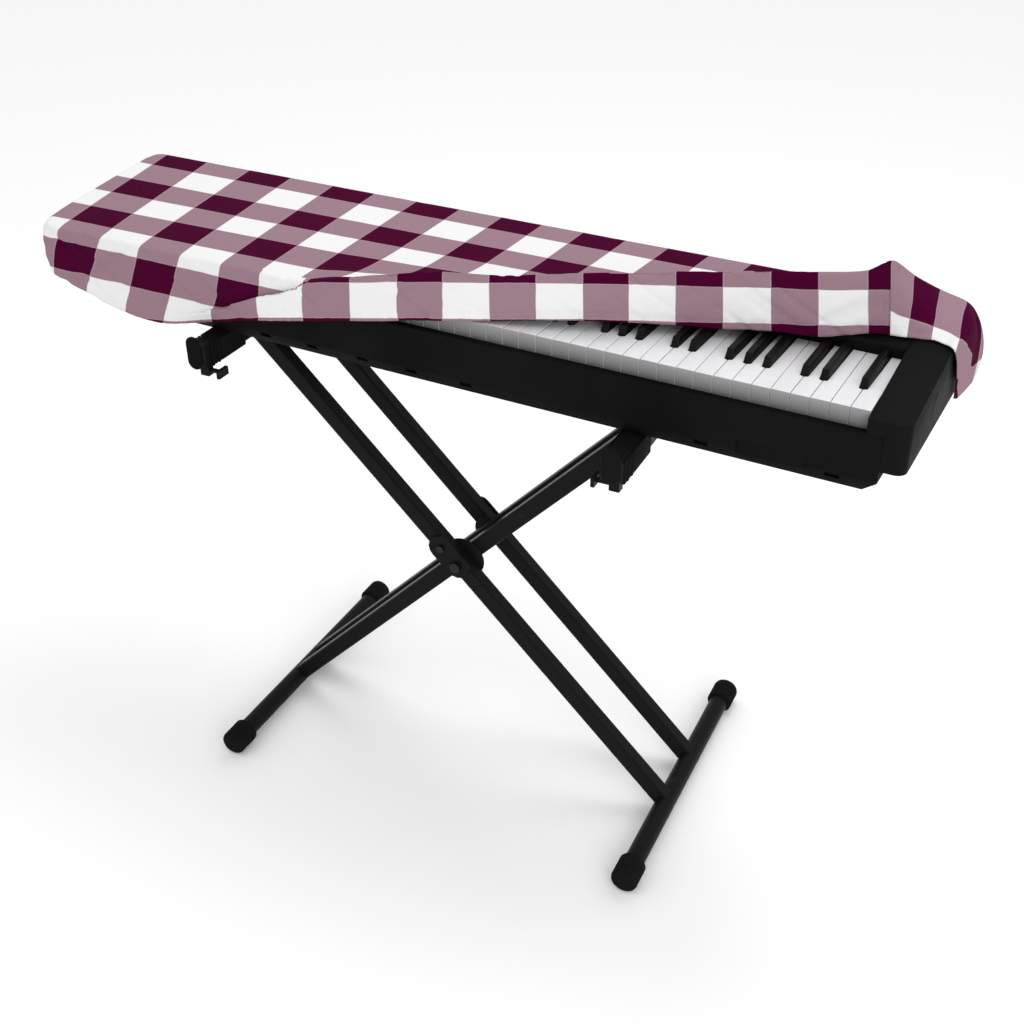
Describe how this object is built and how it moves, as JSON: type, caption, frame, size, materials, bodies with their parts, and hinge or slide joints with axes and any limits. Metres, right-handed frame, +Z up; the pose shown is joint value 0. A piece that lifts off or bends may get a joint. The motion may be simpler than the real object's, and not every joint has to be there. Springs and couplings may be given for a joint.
{
  "type": "piano cover on a keyboard and stand",
  "caption": "Fitted check cloth cover over a portable keyboard, its front pulled up and back off the keys at one end, on a folding cross-leg stand.",
  "frame": {"origin": "on the floor, under the middle of the outline of the whole object", "axes": "+X along the keyboard towards its uncovered end, +Y from the player towards the back, +Z up"},
  "size_m": [1.3282, 0.5238, 0.933],
  "materials": {
    "woven_cloth": "matt woven check in plum and white",
    "case_plastic": "satin, lightly grained",
    "tray_plastic": "matt",
    "key_white": "gloss",
    "key_black": "satin",
    "stand_steel": "satin black powder coat",
    "bolt_steel": "blackened bolt",
    "cap_rubber": "matt"
  },
  "bodies": {
    "root": {"cover_main": "woven_cloth", "cover_end_left": "woven_cloth", "cover_end_right": "woven_cloth", "end_block_left": "case_plastic", "end_block_right": "case_plastic", "rear_panel": "case_plastic", "case_tray": "tray_plastic", "white_keys": "key_white", "black_keys": "key_black", "foot_bar_left": "stand_steel", "foot_bar_right": "stand_steel", "leg_outer_front": "stand_steel", "leg_outer_rear": "stand_steel", "leg_inner_front": "stand_steel", "leg_inner_rear": "stand_steel", "arm_left": "stand_steel", "arm_right": "stand_steel", "pivot_plate_front": "stand_steel", "pivot_plate_rear": "stand_steel", "lock_disc_front": "stand_steel", "lock_disc_rear": "stand_steel", "pivot_axle": "stand_steel", "wing_screw_left": "stand_steel", "wing_screw_right": "stand_steel", "pivot_bolt_front": "bolt_steel", "pivot_bolt_rear": "bolt_steel", "lock_pin_front": "bolt_steel", "lock_pin_rear": "bolt_steel", "foot_cap_left_front": "cap_rubber", "foot_cap_left_rear": "cap_rubber", "foot_cap_right_front": "cap_rubber", "foot_cap_right_rear": "cap_rubber", "arm_plate_left_front": "cap_rubber", "arm_plate_left_rear": "cap_rubber", "arm_plate_right_front": "cap_rubber", "arm_plate_right_rear": "cap_rubber"}
  },
  "joints": []
}
